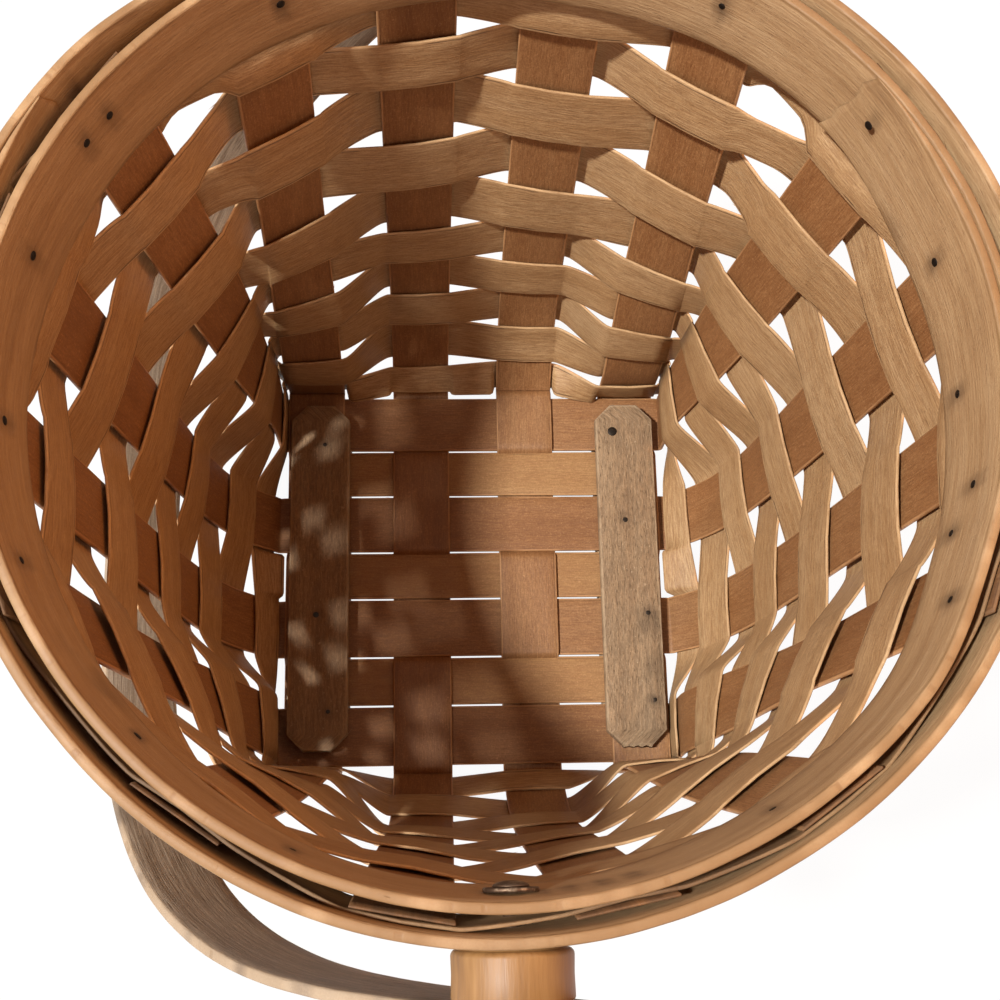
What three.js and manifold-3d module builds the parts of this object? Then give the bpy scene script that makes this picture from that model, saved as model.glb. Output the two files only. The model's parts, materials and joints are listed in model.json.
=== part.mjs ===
// A wood-splint basket. Eight flat stakes and three fillers cross in a square base, the stakes turn up as
// sixteen uprights, rows of weaver go in and out round them, two bent hoops clamp the top edge, and a bent
// handle swings on a rivet at the near and the far side. +X is right, +Y is away, +Z is up, in millimetres.
// The origin is the middle of the base, on the surface that the skids stand on.

import * as THREE from 'three';
import { mergeVertices } from 'three/addons/utils/BufferGeometryUtils.js';
import Module from 'manifold-3d';

const wasm = await Module();
wasm.setup();

// Splints
const stakeWidth = 25.4;
const stakeThickness = 1.6;
const fillerWidth = 17.8;
const fillerLength = 164;
const weaverThickness = 1.4;
const footWeaverWidth = 13;
const lowerWeaverWidth = 21;
const wideWeaverWidth = 25.6;
const touchGap = 0.3;
const rowGap = 1.4;
const bendShare = 0.3;
const cornerRoom = 0.4;

// Base
const stakesEachWay = 4;
const runnerWidth = 26;
const runnerLength = 156;
const runnerWallGap = 2.5;
const runnerThickness = 5.5;
const skidThickness = 8;
const slatCorner = 7;
const slatBevel = 0.8;

// Wall
const wallHeight = 245;
const bulge = 21;
const bulgeHeight = 19.7;
const footClimb = 3.0;
const lowerRows = 4;
const wideRows = 3;
const upperRows = 3;
const topDraw = 0.06;
const turnSoftness = 0.14;
const squareHeight = 5;
const roundHeight = 150;

// Rim
const rimRadius = 144;
const hoopThickness = 3.4;
const hoopHeight = 33;
const hoopProud = 5;
const wallHoopGap = 1.2;
const innerLapStart = 46;
const outerLapStart = 205;
const lapAngle = 61;
const lapRun = 20;
const lapEndGap = 3;

// Handle and its pivots
const handleWidth = 30;
const handleThickness = 3.4;
const handleRise = 208;
const handleSquareness = 2.8;
const handleTail = 28;
const spacerRadius = 15;
const spacerLength = 12;
const spacerChamfer = 2;
const rivetRadius = 3;
const rivetHeadRadius = 7;
const rivetHeadHeight = 3;
const burrRadius = 7;
const burrThickness = 1.2;
const peenRadius = 4.6;
const peenHeight = 1.5;
const turningGap = 0.4;
const handleWallGap = 0.7;

const degree = Math.PI / 180;

// What follows from the sizes
const slit = stakeThickness + 2 * touchGap;
const stakePitch = stakeWidth + fillerWidth + 2 * slit;
const crossLift = stakeThickness + touchGap;
const weaveOffset = (stakeThickness + weaverThickness) / 2 + touchGap;
const plateauHalf = stakeWidth / 2 + 2 * touchGap;
const baseHalf = (stakesEachWay - 1) * stakePitch / 2 + stakeWidth / 2;
const weaveReach = weaveOffset + weaverThickness / 2;
const turn = baseHalf + weaveReach + cornerRoom;
const outerHoopBore = rimRadius - hoopThickness;
const wallTopRadius = Math.sqrt((outerHoopBore - wallHoopGap) ** 2 - plateauHalf ** 2) - weaveReach;
const innerHoopFace = wallTopRadius - weaveReach - touchGap;
const flare = (Math.sqrt(wallTopRadius ** 2 - (stakePitch / 2) ** 2) - turn - bulge) / wallHeight;
const runnerPlace = turn - weaveReach - runnerWallGap - runnerWidth / 2;
const baseLevel = skidThickness + touchGap + crossLift + stakeThickness / 2;
const rimTop = wallHeight + hoopProud;
const pivotLevel = rimTop - hoopHeight / 2;
const holeRadius = rivetRadius + touchGap;
const spacerEnd = rimRadius + spacerLength;
const handleHalfSpan = spacerEnd + turningGap + handleThickness / 2;

const colours = {
  stake: 0x7c4522, weaver: 0x93602f, hoop: 0xa8713f, runner: 0x8a6b4a,
  skid: 0x80603f, handle: 0x8b7660, spacer: 0xb98347, rivet: 0x77716b,
};

function material(name, roughness = 0.75, metalness = 0) {
  return new THREE.MeshStandardMaterial({ color: colours[name], roughness, metalness });
}

function namedMesh(name, geometry, surface) {
  const mesh = new THREE.Mesh(geometry, surface);
  mesh.name = name;
  return mesh;
}

const vector = (x, y, z) => new THREE.Vector3(x, y, z);
const up = vector(0, 0, 1);

function smoothstep(low, high, value) {
  const share = THREE.MathUtils.clamp((value - low) / (high - low), 0, 1);
  return share * share * (3 - 2 * share);
}

// Shared vertices are merged, slivers at a pole are dropped, and the faces are turned outward.
function solid(source) {
  source.deleteAttribute('normal');
  source.deleteAttribute('uv');
  const merged = mergeVertices(source, 1e-4);
  const position = merged.getAttribute('position');
  const index = merged.getIndex().array;
  const corner = (i) => new THREE.Vector3().fromBufferAttribute(position, i);
  const kept = [];
  let volume = 0;
  for (let i = 0; i < index.length; i += 3) {
    const [a, b, c] = [index[i], index[i + 1], index[i + 2]];
    if (a === b || b === c || c === a) continue;
    kept.push(a, b, c);
    volume += corner(a).dot(corner(b).cross(corner(c)));
  }
  if (volume < 0) {
    for (let i = 0; i < kept.length; i += 3) [kept[i], kept[i + 1]] = [kept[i + 1], kept[i]];
  }
  const geometry = new THREE.BufferGeometry();
  geometry.setAttribute('position', position);
  geometry.setIndex(kept);
  geometry.computeVertexNormals();
  return geometry;
}

function toManifold(geometry) {
  const vertProperties = new Float32Array(geometry.getAttribute('position').array);
  const triVerts = new Uint32Array(geometry.getIndex().array);
  return new wasm.Manifold(new wasm.Mesh({ numProp: 3, vertProperties, triVerts }));
}

function fromManifold(body) {
  const mesh = body.getMesh();
  const geometry = new THREE.BufferGeometry();
  geometry.setAttribute('position', new THREE.BufferAttribute(new Float32Array(mesh.vertProperties), 3));
  geometry.setIndex(Array.from(mesh.triVerts));
  geometry.computeVertexNormals();
  return geometry;
}

function cut(geometry, ...tools) {
  return fromManifold(tools.reduce((body, tool) => body.subtract(toManifold(tool)), toManifold(geometry)));
}

// A hole along Y, right across the basket at the given height.
function crossHole(height, radius) {
  return solid(new THREE.CylinderGeometry(radius, radius, 3 * rimRadius, 24)).translate(0, 0, height);
}

// A thin sheet through a grid of points on its middle surface. Each station along the sheet is a row of points
// across it, and the thickness lies square to the surface, mitred where the sheet bends.
function sheet(stations, thickness, closed = false) {
  const count = stations.length;
  const wide = stations[0].length;
  const wrap = (i) => (closed ? (i + count) % count : THREE.MathUtils.clamp(i, 0, count - 1));
  const direction = (from, to) => to.clone().sub(from).normalize();
  const through = (before, here, after) => {
    const arriving = direction(before, here);
    const leaving = direction(here, after);
    if (arriving.lengthSq() === 0) arriving.copy(leaving);
    if (leaving.lengthSq() === 0) leaving.copy(arriving);
    const mean = arriving.add(leaving).normalize();
    return { mean, cosine: Math.max(mean.dot(leaving), 0.5) };
  };
  const vertices = [];
  stations.forEach((station, i) => {
    const faces = station.map((point, k) => {
      const along = through(stations[wrap(i - 1)][k], point, stations[wrap(i + 1)][k]);
      const across = through(station[Math.max(k - 1, 0)], point, station[Math.min(k + 1, wide - 1)]);
      const offset = along.mean.clone().cross(across.mean).normalize();
      return offset.multiplyScalar(thickness / 2 / (along.cosine * across.cosine));
    });
    const front = station.map((point, k) => point.clone().add(faces[k]));
    const back = station.map((point, k) => point.clone().sub(faces[k])).reverse();
    for (const corner of [...front, ...back]) vertices.push(corner.x, corner.y, corner.z);
  });
  const loop = 2 * wide;
  const triangles = [];
  const quad = (a, b, c, d) => triangles.push(a, b, c, a, c, d);
  for (let i = 0; i < (closed ? count : count - 1); i += 1) {
    const here = loop * i;
    const next = loop * ((i + 1) % count);
    for (let k = 0; k < loop; k += 1) quad(here + k, next + k, next + (k + 1) % loop, here + (k + 1) % loop);
  }
  if (!closed) {
    const last = loop * (count - 1);
    for (let k = 0; k < wide - 1; k += 1) {
      const mirror = loop - 1 - k;
      quad(k, k + 1, mirror - 1, mirror);
      quad(last + k, last + mirror, last + mirror - 1, last + k + 1);
    }
  }
  const geometry = new THREE.BufferGeometry();
  geometry.setAttribute('position', new THREE.Float32BufferAttribute(vertices, 3));
  geometry.setIndex(triangles);
  return solid(geometry);
}

// A station of a flat strip: the two edge points either side of its centre line.
function edges(centre, across, half) {
  return [centre.clone().addScaledVector(across, -half), centre.clone().addScaledVector(across, half)];
}

// Points at even steps of length along a curve given by a function of 0 to 1.
function evenly(curve, count, dense = 800) {
  const points = Array.from({ length: dense + 1 }, (_, i) => curve(i / dense));
  const lengths = [0];
  for (let i = 1; i <= dense; i += 1) lengths.push(lengths[i - 1] + points[i].distanceTo(points[i - 1]));
  const result = [];
  for (let k = 0, i = 0; k < count; k += 1) {
    const target = lengths[dense] * k / (count - 1);
    while (i < dense - 1 && lengths[i + 1] < target) i += 1;
    const share = (target - lengths[i]) / (lengths[i + 1] - lengths[i]);
    result.push(points[i].clone().lerp(points[i + 1], share));
  }
  return result;
}

// The wall's radius at a height above the base's middle, measured at the middle uprights.
function wallRadius(height) {
  const out = turn + bulge * (1 - Math.exp(-height / bulgeHeight)) + flare * height;
  return Math.hypot(stakePitch / 2, out);
}

// Where an upright stands at a height: round where the wall is round, and square where the base still rules.
function uprightPoint(place, height) {
  const sideways = place * (1 - topDraw * height / wallHeight);
  const past = Math.sqrt(Math.max(wallRadius(height) ** 2 - sideways ** 2, 0)) - turn;
  const softness = turnSoftness * Math.abs(place);
  const blend = Math.max(softness - Math.abs(past), 0) ** 2 / (4 * softness);
  return { sideways, out: turn + Math.max(past, 0) + blend };
}

const sides = [0, 1, 2, 3].map((quarter) => ({
  out: vector(Math.round(Math.cos(quarter * Math.PI / 2)), Math.round(Math.sin(quarter * Math.PI / 2)), 0),
  along: vector(-Math.round(Math.sin(quarter * Math.PI / 2)), Math.round(Math.cos(quarter * Math.PI / 2)), 0),
}));

const places = Array.from({ length: stakesEachWay }, (_, i) => (i - (stakesEachWay - 1) / 2) * stakePitch);

// The centre, the width direction, the rising direction and the outward direction of an upright at a height.
function uprightFrame(side, place, height) {
  const at = (level) => {
    const { sideways, out } = uprightPoint(place, level);
    return vector(0, 0, level).addScaledVector(side.out, out).addScaledVector(side.along, sideways);
  };
  const point = at(height);
  const rise = at(height + 0.5).sub(at(height - 0.5)).normalize();
  const radial = vector(point.x, point.y, 0).normalize();
  const outward = side.out.clone().lerp(radial, smoothstep(squareHeight, roundHeight, height)).normalize();
  const across = up.clone().cross(outward);
  across.addScaledVector(rise, -rise.dot(across)).normalize();
  return { point, across, rise, face: across.clone().cross(rise).normalize() };
}

// How far along each upright a height lies, and the height at a share of that length.
const climbs = new Map(places.map((place) => {
  const steps = 500;
  const lengths = [0];
  for (let i = 1; i <= steps; i += 1) {
    const low = uprightPoint(place, wallHeight * (i - 1) / steps);
    const high = uprightPoint(place, wallHeight * i / steps);
    const flat = Math.hypot(high.out - low.out, high.sideways - low.sideways);
    lengths.push(lengths[i - 1] + Math.hypot(flat, wallHeight / steps));
  }
  return [place, lengths];
}));
const wallLength = climbs.get(places[1]).at(-1);

function heightAtShare(place, share) {
  const lengths = climbs.get(place);
  const target = share * lengths.at(-1);
  const i = THREE.MathUtils.clamp(lengths.findIndex((length) => length >= target), 1, lengths.length - 1);
  const part = (target - lengths[i - 1]) / (lengths[i] - lengths[i - 1]);
  return wallHeight * (i - 1 + part) / (lengths.length - 1);
}

// Where each row of weaver lies along the wall, from the foot up: a narrow row in the bend, four rows of one
// width, three wide rows, and rows that share what is left. Where the wall still bends, a row has a middle
// level too.
const rowWidths = [footWeaverWidth, ...Array(lowerRows).fill(lowerWeaverWidth),
  ...Array(wideRows).fill(wideWeaverWidth)];
const usedClimb = rowWidths.reduce((sum, width) => sum + width + rowGap, footClimb);
rowWidths.push(...Array(upperRows).fill((wallLength - usedClimb) / upperRows - rowGap));
const rows = rowWidths.map((width, i) => {
  const low = rowWidths.slice(0, i).reduce((sum, below) => sum + below + rowGap, footClimb);
  return i <= lowerRows ? [low, low + width / 2, low + width] : [low, low + width];
});

// One ring of weaver. It lies flat on each upright, outside one and inside the next, and slants between.
function weaver(row, levels) {
  const plateaus = sides.flatMap((side, quarter) => places.map((place, i) => {
    const passesOutside = (quarter * stakesEachWay + i + row) % 2 === 1;
    return levels.map((level) => {
      const { point, across, face } = uprightFrame(side, place, heightAtShare(place, level / wallLength));
      const centre = point.clone().addScaledVector(face, passesOutside ? weaveOffset : -weaveOffset);
      const [enter, leave] = edges(centre, across, plateauHalf);
      return { across, enter, leave };
    });
  }));
  const stations = plateaus.flatMap((plateau, i) => {
    const bends = plateau.map(({ leave, across }, k) => {
      const next = plateaus[(i + 1) % plateaus.length][k];
      const reach = bendShare * leave.distanceTo(next.enter);
      const leaving = leave.clone().addScaledVector(across, reach);
      const arriving = next.enter.clone().addScaledVector(next.across, -reach);
      return new THREE.CubicBezierCurve3(leave, leaving, arriving, next.enter);
    });
    const between = [0, 1 / 3, 2 / 3].map((share) => bends.map((bend) => bend.getPoint(share)));
    return [plateau.map(({ enter }) => enter), ...between];
  });
  return sheet(stations, weaverThickness, true);
}

// The levels at which a stake's path is set out, which are also the levels of the rows round it.
const stakeLevels = [...rows.flatMap((levels) => levels.slice(0, -1)), wallLength];

// One stake from the top of one wall, down, across the base and up the opposite wall. Its lifts say where it
// lies over (1) or under (-1) each crossing splint, and it drops through the slit where they change.
function stake(farSide, nearSide, place, lifts) {
  const half = stakeWidth / 2;
  const across = farSide.along.clone().negate();
  const upright = (side, sidePlace, sign) => stakeLevels.map((level) => {
    const frame = uprightFrame(side, sidePlace, heightAtShare(sidePlace, level / wallLength));
    return edges(frame.point, frame.across, sign * half);
  });
  const edge = baseHalf + 2 * touchGap;
  const route = [[-edge, lifts[0]]];
  lifts.forEach((lift, i) => {
    if (i > 0 && lift !== lifts[i - 1]) {
      route.push([slitCentres[i - 1], lifts[i - 1]], [slitCentres[i - 1], lift]);
    }
  });
  route.push([edge, lifts.at(-1)]);
  const floor = route.map(([distance, lift]) => {
    const centre = across.clone().multiplyScalar(place).addScaledVector(farSide.out, distance);
    return edges(centre.setZ(lift * crossLift), across, half);
  });
  const stations = [...upright(nearSide, place, 1).reverse(), ...floor, ...upright(farSide, -place, -1)];
  return sheet(stations, stakeThickness);
}

// The slits between the left-to-right splints, from the near edge of the base to the far edge.
const slitCentres = places.slice(0, -1).flatMap((place) => {
  const beside = (stakeWidth + slit) / 2;
  return [place + beside, place + stakePitch - beside];
});

// The near-to-far stakes pass over and under the cross splints two at a time, and neighbours alternate.
const weavePattern = [-1, -1, 1, 1, -1, -1, 1];

function baseFiller(place) {
  const ends = [-fillerLength / 2, fillerLength / 2];
  return sheet(ends.map((x) => edges(vector(x, place, 0), vector(0, 1, 0), fillerWidth / 2)), stakeThickness);
}

// A slat with cut corners and eased edges, lying along Y with its underside at zero.
function slat(thickness) {
  const x = runnerWidth / 2 - slatBevel;
  const y = runnerLength / 2 - slatBevel;
  const outline = new THREE.Shape([
    [-x + slatCorner, -y], [x - slatCorner, -y], [x, -y + slatCorner], [x, y - slatCorner],
    [x - slatCorner, y], [-x + slatCorner, y], [-x, y - slatCorner], [-x, -y + slatCorner],
  ].map(([px, py]) => new THREE.Vector2(px, py)));
  const geometry = new THREE.ExtrudeGeometry(outline, {
    depth: thickness - 2 * slatBevel, bevelThickness: slatBevel, bevelSize: slatBevel, bevelSegments: 1,
  });
  return solid(geometry.translate(0, 0, slatBevel));
}

// A bent hoop. It is one strip that starts on its lap, steps on to the main circle, goes once round and ends
// behind its own start. The lap lies inward or outward of the main circle by one thickness.
function hoop(faceRadius, layer, startAngle) {
  const slope = Math.atan(flare);
  const middle = faceRadius - flare * hoopHeight / 2;
  const step = layer * (hoopThickness + touchGap);
  const turnAngle = 360 + lapAngle - lapEndGap;
  const count = 106;
  const stations = Array.from({ length: count }, (_, i) => {
    const travelled = turnAngle * i / (count - 1);
    const angle = (startAngle - travelled) * degree;
    const radius = middle + step * (1 - smoothstep(lapAngle, lapAngle + lapRun, travelled));
    const radial = vector(Math.cos(angle), Math.sin(angle), 0);
    const across = up.clone().multiplyScalar(Math.cos(slope)).addScaledVector(radial, Math.sin(slope));
    return edges(radial.multiplyScalar(radius).setZ(pivotLevel), across, hoopHeight / 2);
  });
  return cut(sheet(stations, hoopThickness), crossHole(pivotLevel, holeRadius));
}

// The bent handle, standing upright in its own frame with its pivots on the Y axis.
function handle() {
  const squash = 2 / handleSquareness;
  const arch = (share) => {
    const angle = Math.PI * share;
    const y = -Math.sign(Math.cos(angle)) * handleHalfSpan * Math.abs(Math.cos(angle)) ** squash;
    return vector(0, y, handleRise * Math.sin(angle) ** squash);
  };
  const half = handleWidth / 2;
  const station = (point, width) => edges(point, vector(1, 0, 0), width);
  const tail = (side) => [10, 30, 50, 70, 90].map((angle) => {
    const rise = half * (1 - Math.cos(angle * degree));
    return station(vector(0, side * handleHalfSpan, rise - handleTail), half * Math.sin(angle * degree));
  });
  const bend = evenly(arch, 49).map((point) => station(point, half));
  const stations = [...tail(-1), ...bend, ...tail(1).reverse()];
  return cut(sheet(stations, handleThickness), crossHole(0, rivetRadius + turningGap));
}

// The angle below level, to a quarter of a degree, at which the lowered handle comes to lie against the wall.
// Its lower edge gets there first. Between the middle uprights the wall is flat, and past them it is round.
function hangAngle() {
  const squash = 2 / handleSquareness;
  const clears = (tilt) => {
    for (let share = 20; share <= 90; share += 2) {
      const reach = handleRise * Math.sin(share * degree) ** squash - handleThickness / 2;
      const x = reach * Math.cos(tilt * degree) - handleWidth / 2 * Math.sin(tilt * degree);
      const y = Math.max(handleHalfSpan * Math.cos(share * degree) ** squash, stakePitch / 2);
      const height = pivotLevel - reach * Math.sin(tilt * degree) - handleWidth / 2 * Math.cos(tilt * degree);
      const underHoop = height < wallHeight - hoopHeight;
      const wall = wallRadius(Math.max(height, 0)) + weaveReach;
      if (underHoop && Math.hypot(x, y) < wall + handleWallGap) return false;
    }
    return true;
  };
  let tilt = 20;
  while (tilt < 85 && clears(tilt + 0.25)) tilt += 0.25;
  return tilt;
}

function turned(profile, segments) {
  const points = profile.map(([radius, y]) => new THREE.Vector2(radius, y));
  return solid(new THREE.LatheGeometry(points, segments));
}

// A turned wooden spacer between the rim and the handle. Its inner end is hollowed to sit on the hoop.
function spacer() {
  const start = outerHoopBore - flare * hoopHeight;
  const body = turned([[0, start], [spacerRadius - spacerChamfer, start],
    [spacerRadius - spacerChamfer, rimRadius], [spacerRadius, rimRadius + spacerChamfer],
    [spacerRadius, spacerEnd], [0, spacerEnd]], 40).translate(0, 0, pivotLevel);
  const top = rimTop + hoopHeight;
  const bottom = rimTop - 2 * hoopHeight;
  const seat = (level) => rimRadius + touchGap - flare * (rimTop - level);
  const rim = solid(new THREE.CylinderGeometry(seat(top), seat(bottom), top - bottom, 180)
    .rotateX(Math.PI / 2).translate(0, 0, (top + bottom) / 2));
  return cut(body, rim, crossHole(pivotLevel, holeRadius));
}

// The rivet's burr lies inside the inner hoop, at the lowest point of the hoop's slope behind it.
const burrLevel = innerHoopFace - hoopThickness - flare * (hoopHeight / 2 + burrRadius);
const burrFace = Math.sqrt(burrLevel ** 2 - burrRadius ** 2) - touchGap;

function burr() {
  const inner = burrFace - burrThickness;
  return turned([[holeRadius, inner], [burrRadius, inner], [burrRadius, burrFace], [holeRadius, burrFace],
    [holeRadius, inner]], 28).translate(0, 0, pivotLevel);
}

function dome(radius, height, from, direction) {
  return [0, 30, 60, 90].map((angle) => [
    radius * Math.cos(angle * degree), from + direction * height * Math.sin(angle * degree)]);
}

function rivet() {
  const inner = burrFace - burrThickness - touchGap;
  const outer = handleHalfSpan + handleThickness / 2 + turningGap;
  const profile = [...dome(peenRadius, peenHeight, inner, -1).reverse(), [rivetRadius, inner],
    [rivetRadius, outer], ...dome(rivetHeadRadius, rivetHeadHeight, outer, 1)];
  profile[0][0] = 0;
  profile.at(-1)[0] = 0;
  return turned(profile, 28).translate(0, 0, pivotLevel);
}

function buildBase(group) {
  const wood = material('stake');
  const [right, far, left, near] = sides;
  places.forEach((place, i) => {
    const lifts = weavePattern.map((lift) => (i % 2 === 0 ? lift : -lift));
    group.add(namedMesh(`stake_lengthwise_${i + 1}`, stake(far, near, place, lifts), wood));
    group.add(namedMesh(`stake_crosswise_${i + 1}`, stake(left, right, place, [0]), wood));
  });
  places.slice(0, -1).forEach((place, i) => {
    group.add(namedMesh(`base_filler_${i + 1}`, baseFiller(place + stakePitch / 2), material('weaver')));
  });
  const lift = crossLift + stakeThickness / 2 + touchGap;
  for (const [name, side] of [['left', -1], ['right', 1]]) {
    const runner = namedMesh(`inner_runner_${name}`, slat(runnerThickness), material('runner'));
    runner.position.set(side * runnerPlace, 0, lift);
    const skid = namedMesh(`base_skid_${name}`, slat(skidThickness), material('skid'));
    skid.position.set(side * runnerPlace, 0, -lift - skidThickness);
    group.add(runner, skid);
  }
}

function buildWall(group) {
  const hole = crossHole(pivotLevel, holeRadius);
  rows.forEach((levels, row) => {
    const ring = weaver(row, levels);
    const pierced = heightAtShare(places[1], levels.at(-1) / wallLength) > pivotLevel - holeRadius;
    const name = `weaver_row_${String(row + 1).padStart(2, '0')}`;
    group.add(namedMesh(name, pierced ? cut(ring, hole) : ring, material('weaver')));
  });
}

function buildRim(group) {
  const wood = material('hoop', 0.6);
  group.add(namedMesh('inner_hoop', hoop(innerHoopFace - hoopThickness / 2, -1, innerLapStart), wood));
  group.add(namedMesh('outer_hoop', hoop(rimRadius - hoopThickness / 2, 1, outerLapStart), wood));
}

function buildHandle(group) {
  for (const [name, turnAbout] of [['near', Math.PI], ['far', 0]]) {
    const pieces = [
      namedMesh(`handle_spacer_${name}`, spacer(), material('spacer', 0.55)),
      namedMesh(`rivet_burr_${name}`, burr(), material('rivet', 0.5, 0.8)),
      namedMesh(`handle_rivet_${name}`, rivet(), material('rivet', 0.5, 0.8)),
    ];
    for (const piece of pieces) piece.rotation.z = turnAbout;
    group.add(...pieces);
  }
  const swing = new THREE.Group();
  swing.position.set(0, 0, pivotLevel);
  swing.rotation.y = -(90 + hangAngle()) * degree;
  swing.add(namedMesh('handle', handle(), material('handle', 0.65)));
  group.add(swing);
}

const basket = new THREE.Group();
basket.position.z = baseLevel;
buildBase(basket);
buildWall(basket);
buildRim(basket);
buildHandle(basket);

console.log(`handle hangs ${hangAngle()} degrees below level, pivots ${
  (baseLevel + pivotLevel).toFixed(2)} mm up, rim ${(baseLevel + rimTop).toFixed(2)} mm up`);

export default basket;
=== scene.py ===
import json
import math

import bmesh
import bpy
import numpy as np
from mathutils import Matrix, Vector


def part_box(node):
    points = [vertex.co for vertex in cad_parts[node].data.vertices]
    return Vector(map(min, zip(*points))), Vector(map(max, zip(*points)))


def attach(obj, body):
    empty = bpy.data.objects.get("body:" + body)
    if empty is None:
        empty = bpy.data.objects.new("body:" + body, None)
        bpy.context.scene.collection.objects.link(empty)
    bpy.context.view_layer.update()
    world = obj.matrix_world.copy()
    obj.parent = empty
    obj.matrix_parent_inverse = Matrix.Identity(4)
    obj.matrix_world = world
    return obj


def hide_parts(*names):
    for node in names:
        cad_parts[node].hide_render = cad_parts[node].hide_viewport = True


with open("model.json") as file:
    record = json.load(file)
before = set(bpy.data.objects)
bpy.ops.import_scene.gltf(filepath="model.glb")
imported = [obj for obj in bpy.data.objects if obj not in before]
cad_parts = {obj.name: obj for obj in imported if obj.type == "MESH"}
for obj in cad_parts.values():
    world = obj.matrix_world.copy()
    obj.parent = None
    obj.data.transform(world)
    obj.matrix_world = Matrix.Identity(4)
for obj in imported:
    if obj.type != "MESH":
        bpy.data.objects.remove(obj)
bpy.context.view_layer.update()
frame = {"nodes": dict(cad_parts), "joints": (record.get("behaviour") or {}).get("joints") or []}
scene = bpy.context.scene
print("frame loaded:", len(frame["nodes"]), "solids")

mm = 0.001

# What the solids fix: where the base lies, how high the rim is and where the handle turns
baseLevel = (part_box("base_filler_1")[0].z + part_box("base_filler_1")[1].z) / 2
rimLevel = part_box("outer_hoop")[1].z
pivotLevel = frame["joints"][0]["pos_m"][2]

splint = {
    "stakeWidth": 25.4 * mm,
    "stakeThickness": 1.6 * mm,
    "weaverThickness": 1.05 * mm,
    "crossLift": 1.9 * mm,
    "pitch": 47.6 * mm,
    "plateauHalf": 13.3 * mm,
    "bendShare": 0.13,
}

wall = {
    "height": 245 * mm,
    "turn": 87.0 * mm,
    "bulge": 21 * mm,
    "bulgeHeight": 19.7 * mm,
    "topRadius": 138.2 * mm,
    "topDraw": 0.06,
    "sideLean": {0: 12 * mm, 2: 14 * mm},  # how far the right and the left wall's tops lean to the far side
    "leanPower": 0.85,
    "nearSpread": 0.13,
    "rimShift": 0.6 * mm,
    "nearStretch": 0.016,
    # where the rim is out of round, in degrees, and by what share of its radius it is flatter there
    "flats": {-62: 0.014, -137: 0.008, 135: 0.01, 45: -0.002},
    "flatReach": 55,
    "turnSoftness": 0.14,
    "squareHeight": 5 * mm,
    "roundHeight": 150 * mm,
    "footClimb": 1.2 * mm,
    "footWidth": 13 * mm,
    "footGap": 3.2 * mm,
    "lowerRows": 4,
    "lowerWidth": 21 * mm,
    "wideRows": 3,
    "wideWidth": 25.6 * mm,
    "upperRows": 3,
    "rowGap": 1.4 * mm,
    "lastRise": 1.5 * mm,
}
wall["flare"] = (
    math.sqrt(wall["topRadius"] ** 2 - (splint["pitch"] / 2) ** 2) - wall["turn"] - wall["bulge"]
) / wall["height"]

places = [(i - 1.5) * splint["pitch"] for i in range(4)]
sideOut = [(1, 0), (0, 1), (-1, 0), (0, -1)]
sideAlong = [(0, 1), (-1, 0), (0, -1), (1, 0)]
uprights = len(sideOut) * len(places)


def smooth(low, high, value):
    share = np.clip((np.asarray(value, float) - low) / (high - low), 0, 1)
    return share * share * (3 - 2 * share)


def unit(vectors):
    return vectors / np.maximum(np.linalg.norm(vectors, axis=-1, keepdims=True), 1e-12)


def pathLengths(points):
    return np.concatenate([[0], np.cumsum(np.linalg.norm(np.diff(points, axis=0), axis=1))])


def bezier(start, first, last, end, t):
    return start * (1 - t) ** 3 + first * 3 * t * (1 - t) ** 2 + last * 3 * t * t * (1 - t) + end * t**3


# Adds up depths round some angles in degrees, each of which falls off to nothing at the reach
def heaped(turn, depths, reach):
    total = 0 * turn
    for middle, depth in depths.items():
        away = np.abs((turn - middle + 180) % 360 - 180)
        total = total + depth * (1 - smooth(0, reach, away))
    return total


# The rim isn't quite round: it lies a little to the right, reaches out further on the near side and has
# flatter parts. A point's share of that is none at the foot of the wall and all at its top
def uneven(points, share):
    points = np.array(points, float)
    turn = np.degrees(np.arctan2(points[..., 1], points[..., 0]))
    flat = heaped(turn, wall["flats"], wall["flatReach"])
    points[..., :2] *= (1 - flat * share)[..., None]
    points[..., 0] += wall["rimShift"] * share
    nearness = np.clip(np.sin(np.radians(-turn)), 0, 1)
    points[..., 1] *= 1 + wall["nearStretch"] * share * nearness
    return points


def wallRadius(height):
    out = wall["turn"] + wall["bulge"] * (1 - np.exp(-height / wall["bulgeHeight"])) + wall["flare"] * height
    return np.hypot(splint["pitch"] / 2, out)


# Where an upright stands at a height, from the middle of its side of the base
def uprightPoint(quarter, place, height):
    height = np.asarray(height, float)
    share = height / wall["height"]
    if quarter == 3:
        sideways = place * (1 + wall["nearSpread"] * share)
    else:
        lean = wall["sideLean"].get(quarter, 0) * np.maximum(share, 0) ** wall["leanPower"]
        sideways = place * (1 - wall["topDraw"] * share) + sideAlong[quarter][1] * lean
    past = np.sqrt(np.maximum(wallRadius(height) ** 2 - sideways**2, 0)) - wall["turn"]
    softness = wall["turnSoftness"] * abs(place)
    ease = np.maximum(softness - np.abs(past), 0) ** 2 / (4 * softness)
    out = wall["turn"] + np.maximum(past, 0) + ease
    (ox, oy), (ax, ay) = sideOut[quarter], sideAlong[quarter]
    spot = [ox * out + ax * sideways, oy * out + ay * sideways, baseLevel + height]
    return uneven(np.stack(spot, -1), share)


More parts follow.
